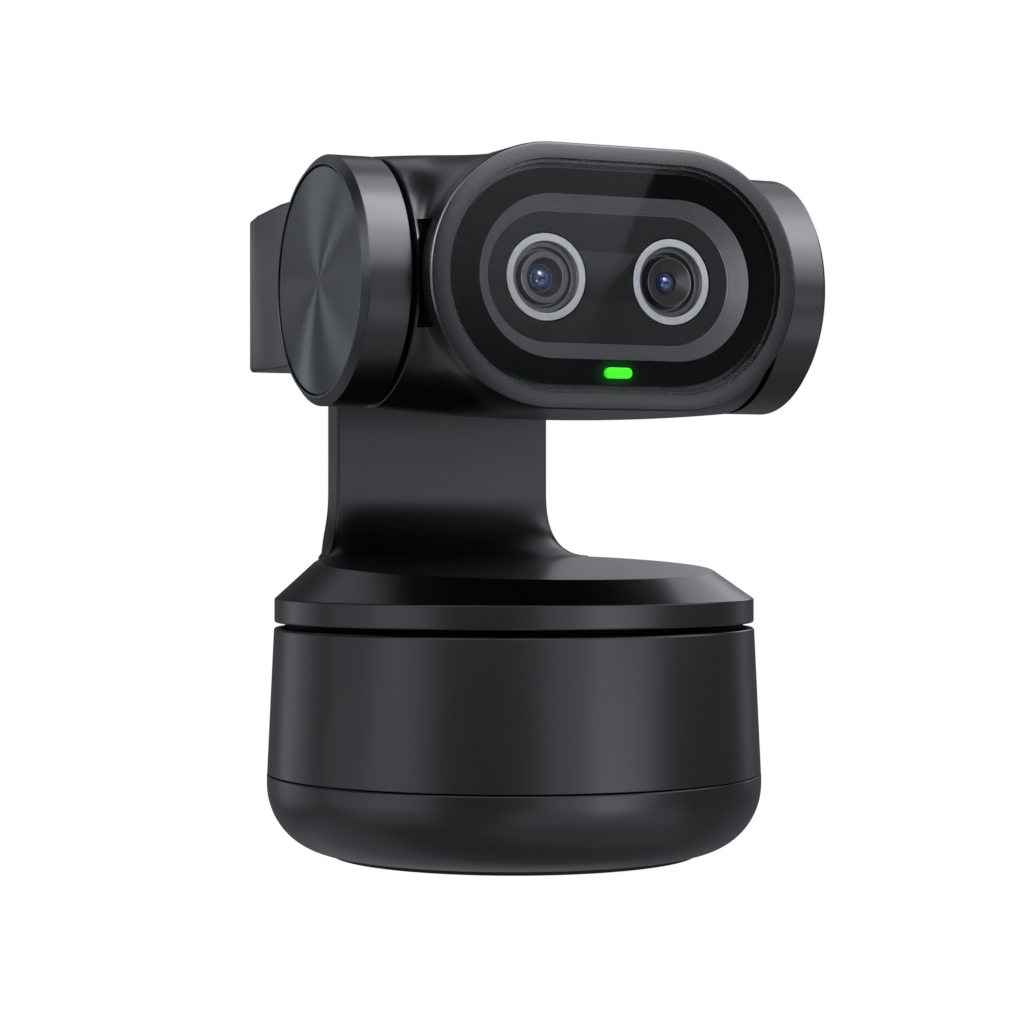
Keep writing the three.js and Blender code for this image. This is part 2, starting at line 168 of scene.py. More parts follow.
def lathe(profile, sides=160, axis="Z", centre=(0, 0, 0), closed=None, flip=1):
    """A profile of (radius, height) points turned round an axis through `centre`.

    Axis F is the line of sight: heights run forwards, along -Y. On axis X, flip -1 turns it to -X."""
    if closed is None:
        closed = profile[0][0] > 0
    angles = np.linspace(0, 2 * math.pi, sides, endpoint=False)
    rings = []
    for r, h in profile:
        c, s = r * np.cos(angles), r * np.sin(angles)
        h = np.full(sides, float(h))
        ring = {"Z": (c, s, h), "X": (flip * h, c, s), "F": (c, -h, s)}[axis]
        rings.append(np.stack(ring, 1) + centre)
    return skin(rings, closed)


def oblong_lathe(profile, straight, sides=96, centre=(0, 0, 0)):
    """A profile of (radius, forwards) points swept round an oblong: two half turns and two straights."""
    half = sides // 2
    right = np.linspace(-math.pi / 2, math.pi / 2, half)
    angles = np.concatenate([right, right + math.pi])
    ends = np.concatenate([np.full(half, straight), np.full(half, -straight)])
    rings = []
    for r, h in profile:
        x = r * np.cos(angles) + (ends if r > 0 else 0)
        rings.append(np.stack([x, np.full(2 * half, -float(h)), r * np.sin(angles)], 1) + centre)
    return skin(rings, profile[0][0] > 0)


def made(name, shape, body, slot, *replaced, material=None, sharp=32):
    """A mesh object from (vertices in mm, faces), cleaned, shaded smooth and riding on a body."""
    verts, faces = shape
    mesh = bpy.data.meshes.new(name)
    mesh.from_pydata((np.asarray(verts) * MM).tolist(), [], faces)
    bm = bmesh.new()
    bm.from_mesh(mesh)
    bmesh.ops.remove_doubles(bm, verts=bm.verts, dist=2e-6)
    bmesh.ops.dissolve_degenerate(bm, edges=bm.edges, dist=1e-6)
    bmesh.ops.recalc_face_normals(bm, faces=bm.faces)
    bm.to_mesh(mesh)
    bm.free()
    piece = bpy.data.objects.new(name, mesh)
    bpy.context.scene.collection.objects.link(piece)
    finish_piece(piece, body, replaced, material, sharp)
    return piece


def finish_piece(piece, body, replaced, material, sharp=32):
    """Shades a piece smooth up to an angle, gives it its one material and puts it on its body."""
    for polygon in piece.data.polygons:
        polygon.use_smooth = True
    piece.data.set_sharp_from_angle(angle=math.radians(sharp))
    piece.data.materials.clear()
    piece.data.materials.append(material)
    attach(piece, body)
    if replaced:
        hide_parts(*replaced)


def applied(piece):
    """Makes a piece's modifiers part of its mesh."""
    graph = bpy.context.evaluated_depsgraph_get()
    mesh = bpy.data.meshes.new_from_object(piece.evaluated_get(graph))
    piece.modifiers.clear()
    piece.data = mesh


def cut(piece, tool_shape, operation="DIFFERENCE"):
    """Cuts (or joins) a closed shape out of a piece with an exact boolean."""
    tool = made("tool", tool_shape, "base", "base_shell", material=piece.data.materials[0])
    modifier = piece.modifiers.new("cut", "BOOLEAN")
    modifier.object = tool
    modifier.operation = operation
    modifier.solver = "EXACT"
    bpy.context.view_layer.update()
    applied(piece)
    bpy.data.objects.remove(tool)
    for polygon in piece.data.polygons:
        polygon.use_smooth = True
    piece.data.set_sharp_from_angle(angle=math.radians(32))


def block(low, high, radius=0.0, steps=3):
    """A box with rounded edges."""
    low, high = np.asarray(low, float), np.asarray(high, float)
    bm = bmesh.new()
    bmesh.ops.create_cube(bm, size=1)
    for v in bm.verts:
        v.co = Vector((low + (np.array(v.co) + 0.5) * (high - low)).tolist())
    if radius > 0:
        bmesh.ops.bevel(bm, geom=bm.edges, offset=radius, segments=steps, profile=0.5, affect="EDGES")
    return drained(bm)


def drained(bm):
    """A bmesh as (vertices, faces), and frees it."""
    bm.verts.index_update()
    shape = [tuple(v.co) for v in bm.verts], [tuple(v.index for v in f.verts) for f in bm.faces]
    bm.free()
    return shape


def prism(outline, half, radius=0.0, steps=3):
    """An outline of (y, z) points extruded to both sides of the middle plane, its edges rounded."""
    bm = bmesh.new()
    left = [bm.verts.new((-half, y, z)) for y, z in outline]
    bm.faces.new(left)
    side = bmesh.ops.extrude_face_region(bm, geom=list(bm.faces))["geom"]
    for v in side:
        if isinstance(v, bmesh.types.BMVert):
            v.co.x = half
    bmesh.ops.recalc_face_normals(bm, faces=bm.faces)
    if radius > 0:
        bmesh.ops.bevel(bm, geom=bm.edges, offset=radius, segments=steps, profile=0.5, affect="EDGES")
    return drained(bm)


# ---------------------------------------------------------------- implicit shapes
def round_union(a, b, radius):
    """Joins two distance fields with a concave fillet."""
    u, v = np.maximum(radius - a, 0), np.maximum(radius - b, 0)
    return np.maximum(radius, np.minimum(a, b)) - np.hypot(u, v)


def cast(field, origins, directions, reach, steps=48):
    """Distance along each ray, from inside the shape, to where the field first turns positive."""
    low = np.zeros(len(origins))
    found = np.full(len(origins), False)
    high = np.full(len(origins), float(reach))
    for t in np.linspace(0, reach, steps)[1:]:
        outside = (field(origins + directions * t) > 0) & ~found
        high[outside] = t
        found |= outside
        low[~found] = t
    for _ in range(22):
        middle = (low + high) / 2
        outside = field(origins + directions * middle[:, None]) > 0
        high = np.where(outside, middle, high)
        low = np.where(outside, low, middle)
    return (low + high) / 2


# ---------------------------------------------------------------- materials
def empty_tree(owner):
    """Nodes and links of a new material or world, cleared."""
    owner.use_nodes = True
    owner.node_tree.nodes.clear()
    return owner.node_tree.nodes, owner.node_tree.links


def new_material(name):
    """A material with nothing but a Principled shader."""
    material = bpy.data.materials.new(name)
    nodes, links = empty_tree(material)
    output = nodes.new("ShaderNodeOutputMaterial")
    shader = nodes.new("ShaderNodeBsdfPrincipled")
    links.new(shader.outputs[0], output.inputs[0])
    return material, nodes, links, shader


def noise(nodes, links, scale, detail=2.0, rough=0.5):
    """A noise texture in object space; scale is features per metre."""
    where = nodes.new("ShaderNodeTexCoord")
    texture = nodes.new("ShaderNodeTexNoise")
    texture.inputs["Scale"].default_value = scale
    texture.inputs["Detail"].default_value = detail
    texture.inputs["Roughness"].default_value = rough
    links.new(where.outputs["Object"], texture.inputs["Vector"])
    return texture.outputs["Fac"]


def rgba(value):
    """A grey level or a colour as four channels."""
    return (*value, 1) if hasattr(value, "__len__") else (value, value, value, 1)


def ramp(nodes, links, source, low, high, start=0.3, stop=0.7):
    """Maps a noise value to a range of numbers or colours."""
    mapped = nodes.new("ShaderNodeValToRGB")
    mapped.color_ramp.elements[0].position = start
    mapped.color_ramp.elements[1].position = stop
    mapped.color_ramp.elements[0].color = rgba(low)
    mapped.color_ramp.elements[1].color = rgba(high)
    links.new(source, mapped.inputs["Fac"])
    return mapped.outputs["Color"]


def bump(nodes, links, shader, height, strength, distance):
    """Tilts the shader's normal by a height, this many metres deep."""
    node = nodes.new("ShaderNodeBump")
    node.inputs["Strength"].default_value = strength
    node.inputs["Distance"].default_value = distance
    links.new(height, node.inputs["Height"])
    links.new(node.outputs["Normal"], shader.inputs["Normal"])


def grained(name, low, high, rough, spread, grain, strength, metallic=0.0, level=0.5):
    """A satin surface: fine grain in the normal, slow drift in colour and roughness."""
    material, nodes, links, shader = new_material(name)
    shader.inputs["Metallic"].default_value = metallic
    shader.inputs["Specular IOR Level"].default_value = level
    slow = noise(nodes, links, 180, 3)
    fine = noise(nodes, links, grain, 2, 0.6)
    links.new(ramp(nodes, links, slow, low, high), shader.inputs["Base Color"])
    mix = nodes.new("ShaderNodeMath")
    mix.operation = "MULTIPLY_ADD"
    mix.inputs[1].default_value = spread
    mix.inputs[2].default_value = rough - spread / 2
    links.new(fine, mix.inputs[0])
    links.new(mix.outputs[0], shader.inputs["Roughness"])
    bump(nodes, links, shader, fine, strength, 4e-5)
    return material


def plain(name, colour, rough, metallic=0.0):
    """Finish of the pieces inside, drifting to a slightly darker shade."""
    darker = tuple(0.8 * c for c in colour)
    return grained(name, darker, colour, rough, 0.08, 3000, 0.08, metallic)


def from_axis(nodes, links, point, across):
    """Distance in metres from the axis through a point in millimetres; `across` scales each direction."""
    where, shift = nodes.new("ShaderNodeTexCoord"), nodes.new("ShaderNodeVectorMath")
    flat, length = nodes.new("ShaderNodeVectorMath"), nodes.new("ShaderNodeVectorMath")
    shift.operation, flat.operation, length.operation = "SUBTRACT", "MULTIPLY", "LENGTH"
    shift.inputs[1].default_value = [c * MM for c in point]
    flat.inputs[1].default_value = across
    links.new(where.outputs["Object"], shift.inputs[0])
    links.new(shift.outputs[0], flat.inputs[0])
    links.new(flat.outputs[0], length.inputs[0])
    return length.outputs["Value"]


def spun_metal():
    """Turned aluminium: fine grooves round the tilt axis and a highlight stretched across them."""
    material, nodes, links, shader = new_material("spun_metal")
    shader.inputs["Metallic"].default_value = 1.0
    shader.inputs["Anisotropic"].default_value = 1.0
    grooves = nodes.new("ShaderNodeTexNoise")
    grooves.noise_dimensions = "1D"
    grooves.inputs["Scale"].default_value = 9000
    grooves.inputs["Detail"].default_value = 3
    links.new(from_axis(nodes, links, (0, AXIS_Y, AXIS_Z), (0, 1, 1)), grooves.inputs["W"])
    tint = ramp(nodes, links, grooves.outputs["Fac"], (0.034, 0.041, 0.044), (0.054, 0.064, 0.068))
    links.new(tint, shader.inputs["Base Color"])
    rough = nodes.new("ShaderNodeMapRange")
    rough.inputs["To Min"].default_value = 0.19
    rough.inputs["To Max"].default_value = 0.26
    links.new(grooves.outputs["Fac"], rough.inputs["Value"])
    links.new(rough.outputs[0], shader.inputs["Roughness"])
    tangent = nodes.new("ShaderNodeTangent")
    tangent.direction_type = "RADIAL"
    tangent.axis = "X"
    links.new(tangent.outputs[0], shader.inputs["Tangent"])
    bump(nodes, links, shader, grooves.outputs["Fac"], 0.15, 1.5e-5)
    return material


def clear_pane():
    """Cover glass seen through: mostly transparent, with a glossy front."""
    material = bpy.data.materials.new("cover_glass")
    nodes, links = empty_tree(material)
    output = nodes.new("ShaderNodeOutputMaterial")
    mix = nodes.new("ShaderNodeMixShader")
    through = nodes.new("ShaderNodeBsdfTransparent")
    gloss = nodes.new("ShaderNodeBsdfPrincipled")
    fresnel = nodes.new("ShaderNodeFresnel")
    fresnel.inputs["IOR"].default_value = 1.5
    gloss.inputs["Base Color"].default_value = (1, 1, 1, 1)
    gloss.inputs["Metallic"].default_value = 1.0
    gloss.inputs["Roughness"].default_value = 0.02
    links.new(fresnel.outputs[0], mix.inputs[0])
    links.new(through.outputs[0], mix.inputs[1])
    links.new(gloss.outputs[0], mix.inputs[2])
    links.new(mix.outputs[0], output.inputs[0])
    return material


def coated_lens_painted_reflection(name, x, radius, bands):
    """Front element: the coating's blue tint with rings of painted reflection round its axis, under a clear,
    sharp surface.
    """
    material, nodes, links, shader = new_material(name)
    scaled = nodes.new("ShaderNodeMapRange")
    scaled.inputs["From Max"].default_value = radius * MM
    links.new(from_axis(nodes, links, (x, 0, AXIS_Z), (1, 0, 1)), scaled.inputs["Value"])
    first, *rest = bands
    colour = ramp(nodes, links, scaled.outputs[0], first[1], rest[-1][1], first[0], rest[-1][0])
    for place, tint in rest[:-1]:
        stop = colour.node.color_ramp.elements.new(place)
        stop.color = (*tint, 1)
    links.new(colour, shader.inputs["Base Color"])
    shader.inputs["Roughness"].default_value = 0.04
    shader.inputs["IOR"].default_value = 1.8
    shader.inputs["Specular Tint"].default_value = (0.55, 0.72, 1.0, 1)
    shader.inputs["Coat Weight"].default_value = 0.6
    shader.inputs["Coat Roughness"].default_value = 0.02
    return material


def painted_glow(material, node, reach, colour):
    """Paints the soft spill of a small light onto the surface round it, as emission: a painted glow."""
    nodes, links = material.node_tree.nodes, material.node_tree.links
    shader = next(n for n in nodes if n.type == "BSDF_PRINCIPLED")
    fade = nodes.new("ShaderNodeMapRange")
    fade.interpolation_type = "SMOOTHERSTEP"
    fade.inputs["From Min"].default_value = reach * MM
    fade.inputs["From Max"].default_value = 0.4 * MM
    links.new(from_axis(nodes, links, sum(span(node)) / 2, (0.62, 0, 1)), fade.inputs["Value"])
    links.new(fade.outputs[0], shader.inputs["Emission Strength"])
    shader.inputs["Emission Color"].default_value = (*colour, 1)


def glowing(name, colour, strength):
    """A light pipe lit from behind."""
    material, nodes, links, shader = new_material(name)
    shader.inputs["Base Color"].default_value = (*colour, 1)
    shader.inputs["Roughness"].default_value = 0.3
    shader.inputs["Emission Color"].default_value = (*colour, 1)
    shader.inputs["Emission Strength"].default_value = strength
    soft = noise(nodes, links, 900)
    bump(nodes, links, shader, soft, 0.1, 2e-5)
    return material


SATIN_LOW, SATIN_HIGH = (0.0024, 0.0025, 0.0028), (0.0032, 0.0033, 0.0037)
SATIN = grained("satin_charcoal", SATIN_LOW, SATIN_HIGH, 0.29, 0.08, 9000, 0.08, level=1.0)
BLASTED = grained("blasted_charcoal", SATIN_LOW, SATIN_HIGH, 0.34, 0.12, 8000, 0.32, level=1.0)
BEZEL = grained("bezel_charcoal", SATIN_LOW, SATIN_HIGH, 0.27, 0.04, 9000, 0.02, level=1.0)
RUBBER = grained("rubber", (0.010, 0.010, 0.010), (0.015, 0.015, 0.015), 0.75, 0.15, 4000, 0.4)
BLACK = grained("black_plastic", (0.0015, 0.0015, 0.0016), (0.0025, 0.0025, 0.0027), 0.30, 0.06, 6000, 0.1)
PLATE = grained("lens_plate_black", (0.0085, 0.0085, 0.009), (0.0105, 0.0105, 0.011), 0.5, 0.08, 6000, 0.05)
TURNED = grained("turned_black", (0.016, 0.0155, 0.015), (0.021, 0.020, 0.0195), 0.3, 0.06, 6000, 0.03)
# Black print of the lens mask; the same black also makes the painted shade ring in the turntable's gap, and
# the status light's painted glow is added to it below.
PRINT_AND_SHADE_LOW, PRINT_AND_SHADE_HIGH = (0.0009, 0.0009, 0.0009), (0.0014, 0.0014, 0.0014)
PRINT_AND_PAINTED_LIGHT = grained("printed_black", PRINT_AND_SHADE_LOW, PRINT_AND_SHADE_HIGH, 0.5, 0.05, 6000, 0.05, level=0.02)
DISH = grained("recess_black", (0.040, 0.041, 0.044), (0.048, 0.049, 0.053), 0.4, 0.06, 6000, 0.03)
SPUN = spun_metal()
SILVER = grained("lens_ring_silver", (0.70, 0.71, 0.72), (0.78, 0.79, 0.80), 0.4, 0.06, 5000, 0.03, 1.0)
STEEL = plain("machined_steel", (0.45, 0.46, 0.47), 0.35, 1.0)
ALUMINIUM = plain("machined_aluminium", (0.6, 0.61, 0.62), 0.4, 1.0)
BRASS = plain("brass", (0.6, 0.42, 0.18), 0.3, 1.0)
BOARD = plain("solder_mask", (0.02, 0.09, 0.04), 0.45)
FLEX = plain("flex_film", (0.35, 0.16, 0.05), 0.4)
PANE = clear_pane()
# Lens colours: the coating's blue tint, with lighter and darker rings of painted reflection round each
# element's axis.
NAVY, SLATE, INK, SKY = (0.012, 0.018, 0.06), (0.05, 0.075, 0.19), (0.004, 0.005, 0.012), (0.14, 0.22, 0.42)
ELEMENT_R = {"left": 1.45, "right": 1.15}  # radius of each lens's front element
WIDE_REFLECTION_BANDS = [(0, INK), (0.12, NAVY), (0.28, SLATE), (0.40, SKY), (0.52, SLATE), (0.72, NAVY), (0.86, SLATE)]
TELE_REFLECTION_BANDS = [(0, INK), (0.18, NAVY), (0.34, SKY), (0.52, SLATE), (0.74, NAVY), (0.88, SLATE)]
COATING_AND_REFLECTION = {
    "left": coated_lens_painted_reflection("lens_coating_left", -LENS_X, ELEMENT_R["left"], [*WIDE_REFLECTION_BANDS, (1, NAVY)]),
    "right": coated_lens_painted_reflection("lens_coating_right", LENS_X, ELEMENT_R["right"], [*TELE_REFLECTION_BANDS, (1, INK)]),
}
GLOW = glowing("status_glow", (0.03, 0.86, 0.007), 1.0)
# the status light's painted glow on the printed mask round it
painted_glow(PRINT_AND_PAINTED_LIGHT, "status_led", 2.1, (0.0, 0.045, 0.002))


# ---------------------------------------------------------------- base
BOWL = {"centre": (20.5, 8.1), "axes": (BASE_R - 20.5, 7.7)}
FLOOR_Z = BOWL_LOW[2]
_, FOOT_HIGH = span("foot_pad")
FOOT_OUTER, FOOT_INNER = FOOT_HIGH[0], 15.5
SEAM = 0.05  # half width of the visible line between two shells
BASE_WALL = 1.7
BORE_R, HUB_R, HUB_TOP = 5.1, 6.9, 7.2  # the tripod insert's seat in the bowl


def build_base():
    """Foot ring, bowl, drum with its deck, and what shows in the socket and the tripod hole."""
    foot = fillet(
        [
            (FOOT_INNER, 0, 0.15),
            (FOOT_OUTER, 0, 0.25),
            (FOOT_OUTER, FOOT_HIGH[2], 0.1),
            (FOOT_INNER, FOOT_HIGH[2], 0.1),
        ],
        closed=True,
    )
    made("foot_ring", lathe(foot), "base", "foot_rubber", "foot_pad", material=RUBBER)

    curve = ellipse_arc(BOWL["centre"], BOWL["axes"], -83.5, 0, 26)
    hollow = (BOWL["axes"][0] - BASE_WALL, BOWL["axes"][1] - 2)
    inner = ellipse_arc(BOWL["centre"], hollow, 0, -90, 12)
    lip = FOOT_HIGH[2] + 0.05
    bowl = [
        (BORE_R, FLOOR_Z + 0.2),
        (BORE_R + 0.2, FLOOR_Z),
        (FOOT_INNER - 0.2, FLOOR_Z),
        (FOOT_INNER - 0.2, lip),
        (FOOT_OUTER + 0.15, lip),
        (FOOT_OUTER + 0.15, FLOOR_Z + 0.05),
        *curve,
        (BASE_R, PARTING_Z - 0.35),
        (BASE_R, PARTING_Z - SEAM - 0.10),
        (BASE_R - 0.04, PARTING_Z - SEAM - 0.02),
        (BASE_R - 0.12, PARTING_Z - SEAM),
        (BASE_R - BASE_WALL, PARTING_Z - SEAM),
        *inner,
        (HUB_R, 2.4),
        (HUB_R, HUB_TOP),
        (BORE_R, HUB_TOP),
    ]
    made("base_bowl", lathe(bowl, 192), "base", "base_shell", "base_lower_shell", material=SATIN, sharp=50)

    rim_r, deck = TABLE_R + 0.05, RIM_Z - 0.65
    wall = fillet(
        [
            (BASE_R - 0.8, PARTING_Z + SEAM, 0),
            (BASE_R - 0.03, PARTING_Z + SEAM, 0.1),
            (rim_r, RIM_Z, 0.3),
            (26.4, RIM_Z, 0.12),
            (26.4, deck, 0),
            (10.4, deck, 0),
            (10.4, 22, 0),
            (12.6, 22, 0),
            (12.6, 23.4, 0),
            (25, 23.4, 0),
            (25, 8, 0),
            (25.9, 8, 0),
            (25.9, PARTING_Z + SEAM, 0),
        ],
        closed=True,
    )
    drum = made("base_drum", lathe(wall, 192), "base", "base_shell", "base_upper_shell", material=SATIN)
    socket_low, socket_high = span("usb_c_socket")
    middle = (socket_low + socket_high) / 2
    r = (socket_high[2] - socket_low[2]) / 2
    straight = socket_high[0] - r
    mouth = [
        (0, -24.0),
        (r + 0.3, -24.0),
        (r + 0.3, -27.3),
        (r + 0.75, -27.9),
        (r + 0.75, -29.0),
        (0, -29.0),
    ]
    cut(drum, oblong_lathe(mouth, straight, 64, (0, 0, middle[2])))
    back = -socket_high[1]
    tube = [
        (r, back + 0.05),
        (r - 0.05, back),
        (r - 0.25, back),
        (r - 0.3, back + 0.05),
        (r - 0.3, back + 6.0),
        (0.001, back + 6.0),
        (0.001, back + 7.2),
        (r, back + 7.2),
    ]
    made(
        "usb_c_shell", oblong_lathe(tube, straight, 64, (0, 0, middle[2])), "base", "steel_parts",
        "usb_c_socket", material=STEEL
    )
    made(
        "usb_c_blade", block(*span("usb_c_tongue"), radius=0.12), "base", "mask_black", "usb_c_tongue",
        material=BLACK
    )
    crest, pitch = 3.175, 1.28  # inside radius and pitch of the quarter-inch thread
    insert = fillet(
        [
            (0, 8.4),
            (6.4, 8.4, 0.2),
            (6.4, 7.35, 0.1),
            (4.9, 7.35, 0),
            (4.9, 0.75, 0.2),
            (3.55, 0.75, 0),
            (crest, 1.1, 0),
            *[(crest + (0 if k % 2 else 0.22), 1.3 + pitch / 4 * k) for k in range(19)],
            (crest, 7.3, 0),
            (3.0, 7.6, 0),
            (0, 7.6),
        ],
    )
    made(
        "tripod_insert", lathe(insert, 64, closed=False), "base", "brass_insert", "tripod_nut",
        material=BRASS
    )


# ---------------------------------------------------------------- turntable and neck
BAND_TOP_Z = 28.9
TOP_R = 22.6
TOP_Z = 32.6
TOP_SLOPE = 0.052
NECK_HALF, NECK_FRONT, NECK_REAR = 13.75, 19.9, HOUSING_REAR
FLARE_HEIGHT, CORNER_FLARE = 8.3, 4.5  # the corners spread over this height, by this much at the foot
FRONT_SWEEP = 7.0  # radius of the front face's sweep into the top
NECK_TOP = HOUSING_LOW - 0.12


def top_height(y):
    """Height of the turntable's sloping top."""
    return TOP_Z + TOP_SLOPE * y


def build_turntable():
    """A crisp turned piece whose chamfer climbs from a level circle to a sloping one."""
    sides = 192
    angles = np.linspace(0, 2 * math.pi, sides, endpoint=False)
    c, s = np.cos(angles), np.sin(angles)
    sections = []
    for k in range(sides):
        edge_z = top_height(TOP_R * s[k])
        profile = fillet(
            [
                (26.0, TABLE_Z + 1.2),
                (26.0, TABLE_Z, 0),
                (TABLE_R, TABLE_Z, 0.22),
                (TABLE_R, BAND_TOP_Z, 0.22),
                (TOP_R, edge_z, 0.35),
                (TOP_R * 0.55, top_height(TOP_R * 0.55 * s[k]), 0),
                (0, TOP_Z),
            ],
            steps=4,
        )
        sections.append([(r * c[k], r * s[k], z) for r, z in profile])
    rings = np.array(sections).transpose(1, 0, 2)
    underside = np.full((sides, 3), (0, 0, TABLE_Z + 1.2))
    made("turntable", skin([underside, *rings]), "pan_body", "yoke_paint", "yoke_frame", material=SATIN)
    # a near-black ring hung in the gap under the turntable: painted shade, so the gap reads dark
    inner, outer, low, high = 25.6, 25.95, RIM_Z - 0.35, TABLE_Z + 1.1
    skirt = fillet([(inner, low, 0.1), (outer, low, 0.1), (outer, high, 0), (inner, high, 0)], closed=True)
    made("dark_skirt", lathe(skirt, 160), "pan_body", "mask_black", material=PRINT_AND_PAINTED_LIGHT)


def flare(height, reach, power, tall):
    """How far a fillet stands off its wall at a height above its floor: a superellipse this tall and wide."""
    rise = min(max(1 - height / tall, 0), 1)
    return reach * (1 - (1 - rise**power) ** (1 / power))


def neck_section(height):
    """The plate's outline at a height above the sloping top: its front sweeps forwards in the middle and its
    front corners spread sideways into the edge of the top."""
    spread = flare(height, CORNER_FLARE, 2.9, FLARE_HEIGHT)
    spread /= (1 + (spread / 5) ** 4) ** 0.25
    rear = NECK_HALF + spread / math.hypot(1, spread / 0.8)
    half, front = NECK_HALF + spread, NECK_FRONT - spread
    bow = max(flare(height, FRONT_SWEEP, 2, FRONT_SWEEP), spread) - spread
    edge = 0.32
    rear_corner = fillet([(0, NECK_REAR), (rear, NECK_REAR, edge), (half, front)], 4)[1:-1]
    front_corner = fillet([(rear, NECK_REAR), (half, front, edge), (0, front)], 4)[1:-1]
    last, first = rear_corner[-1], front_corner[0]
    side = [last + (first - last) * t for t in (0.25, 0.5, 0.75)]
    right = [*rear_corner, *side, *front_corner]
    ends_at = front_corner[-1][0]
    for t in (1 - np.linspace(0, 1, 30)[1:]) ** 0.6:
        right.append(np.array([ends_at * t, front - bow * (1 - t**8)]))
    left = [p * [-1, 1] for p in right[-2::-1]]
    back = [np.array([x, NECK_REAR]) for x in np.linspace(-rear + 1.0, rear - 1.0, 9)]
    return np.array([*right, *left, *back])


def build_neck():
    """The plate, skinned from its joint with the housing down into the turntable."""
    top = NECK_TOP - top_height(NECK_FRONT)
    bend = 1 - np.sin(np.radians(np.linspace(4, 90, 34)))
    heights = [top, top - 0.25, top - 2, 14, 10.5, *(FLARE_HEIGHT * bend)]
    rings = []
    for height in heights:
        outline = neck_section(height)
        z = np.full(len(outline), NECK_TOP)
        if height < top:
            tilt = min(1, (top - height) / 8)
            z = height + top_height(NECK_FRONT + tilt * (outline[:, 1] - NECK_FRONT))
        rings.append(np.column_stack([outline, z]))
    for drop in (0.12, 1.2, 2.6, 4.3):
        ring = rings[-1].copy()
        ring[:, 2] = np.minimum(rings[-1][:, 2], top_height(ring[:, 1]) - drop)
        r = np.hypot(ring[:, 0], ring[:, 1])
        ring[:, :2] *= np.minimum(1, (TABLE_R - 0.04) / r)[:, None]
        rings.append(ring)
    top_cap, bottom_cap = rings[0].copy(), rings[-1].copy()
    for cap in (top_cap, bottom_cap):
        cap[:, :2] = cap[:, :2] * [0.9, 0] + [0, (NECK_FRONT + NECK_REAR) / 2]
    made("neck", skin([top_cap, *rings, bottom_cap]), "pan_body", "yoke_paint", material=BLASTED, sharp=38)
    low, high = span("neck_cover")
    high[1] = NECK_REAR + 0.1
    made("neck_strip", block(low, high, 0.15), "pan_body", "yoke_paint", "neck_cover", material=BLASTED)


# ---------------------------------------------------------------- rear housing
def build_housing():
    """The block behind the head, hollow under its rear cover, with an arm and a round boss at each end."""
    low, high, half = HOUSING_LOW, HOUSING_HIGH, HOUSING_HALF
    outline = [
        (HOUSING_FRONT, low),
        (HOUSING_REAR - 0.5, low),
        (HOUSING_REAR, low + 0.5),
        (HOUSING_REAR, high - 1.0),
        (HOUSING_REAR - 2.6, high - 0.5),
        (HOUSING_REAR - 10.2, high),
        (HOUSING_FRONT, high),
    ]
    housing = made("housing", prism(outline, half, 0.32), "pan_body", "yoke_paint", material=SATIN)
    cover_low, cover_high = span("rear_cover")
    gap = 0.12
    seat_low, seat_high = cover_low - gap, cover_high + gap
    seat_low[1], seat_high[1] = HOUSING_REAR - 1.2, HOUSING_REAR + 1
    cut(housing, block(seat_low, seat_high))
    wall = 1.6
    room_low = (-half + wall, HOUSING_FRONT + wall, low + wall)
    room_high = (half - wall, HOUSING_REAR - 0.9, high - wall - 0.5)
    cut(housing, block(room_low, room_high))
    for side in (-1, 1):
        disc = fillet([(0, ARM_INNER), (ARM_R, ARM_INNER, 0.2), (ARM_R, half, 0.2), (0, half)])
        cut(housing, lathe(disc, 96, "X", (0, AXIS_Y, AXIS_Z), closed=False, flip=side), "UNION")
        x0, x1 = sorted((side * ARM_INNER, side * (half - 0.01)))
        arm = block((x0, AXIS_Y, low + 0.01), (x1, HOUSING_FRONT + 1, high - 0.01), 0.12)
        cut(housing, arm, "UNION")
    finish_piece(housing, "pan_body", ["rear_housing"], SATIN)
    cover_high[1] = HOUSING_REAR
    cover = block(cover_low, cover_high, 0.18)
    made("housing_cover", cover, "pan_body", "yoke_paint", "rear_cover", material=SATIN)


def build_caps():
    """Drums at both ends of the tilt axis: bevelled rim, fine groove and an inlaid spun disc."""
    disc_r = (DISC_HIGH[2] - DISC_LOW[2]) / 2
    disc_face = -DISC_LOW[0]
    for word, side in (("left", -1), ("right", 1)):
        cup = fillet(
            [
                (0, 25.7),
                (12.3, 25.7, 0.2),
                (12.3, CAP_INNER, 0.1),
                (CAP_R, CAP_INNER, 0.16),
                (CAP_R, CAP_FACE - 0.7, 0.1),
                (CAP_R - 0.85, CAP_FACE, 0.08),
                (disc_r + 0.14, CAP_FACE, 0.06),
                (disc_r + 0.14, CAP_FACE - 0.68, 0),
                (0, CAP_FACE - 0.68),
            ],
            steps=4,
        )
        centre = (0, AXIS_Y, AXIS_Z)
        drum = made(
            word + "_drum", lathe(cup, 192, "X", centre, closed=False, flip=side), "pan_body",
            "yoke_paint", word + "_end_cap", material=SATIN
        )
        x0, x1 = sorted((side * (CAP_INNER - 1), side * (HOUSING_HALF + 0.15)))
        seat_low = (x0, AXIS_Y + 8, HOUSING_LOW - 0.15)
        cut(drum, block(seat_low, (x1, AXIS_Y + 20, HOUSING_HIGH + 0.15)))
        back = disc_face - 0.5
        edge = fillet([(0, back), (disc_r, back, 0), (disc_r, disc_face, 0.08), (0, disc_face)], steps=3)
        disc = [*edge[:-1], *[(r, disc_face) for r in np.linspace(disc_r - 0.4, 0, 14)]]
        made(
            word + "_spun_disc", lathe(disc, 192, "X", centre, closed=False, flip=side), "pan_body",
            "spun_disc", word + "_cap_disc", material=SPUN
        )


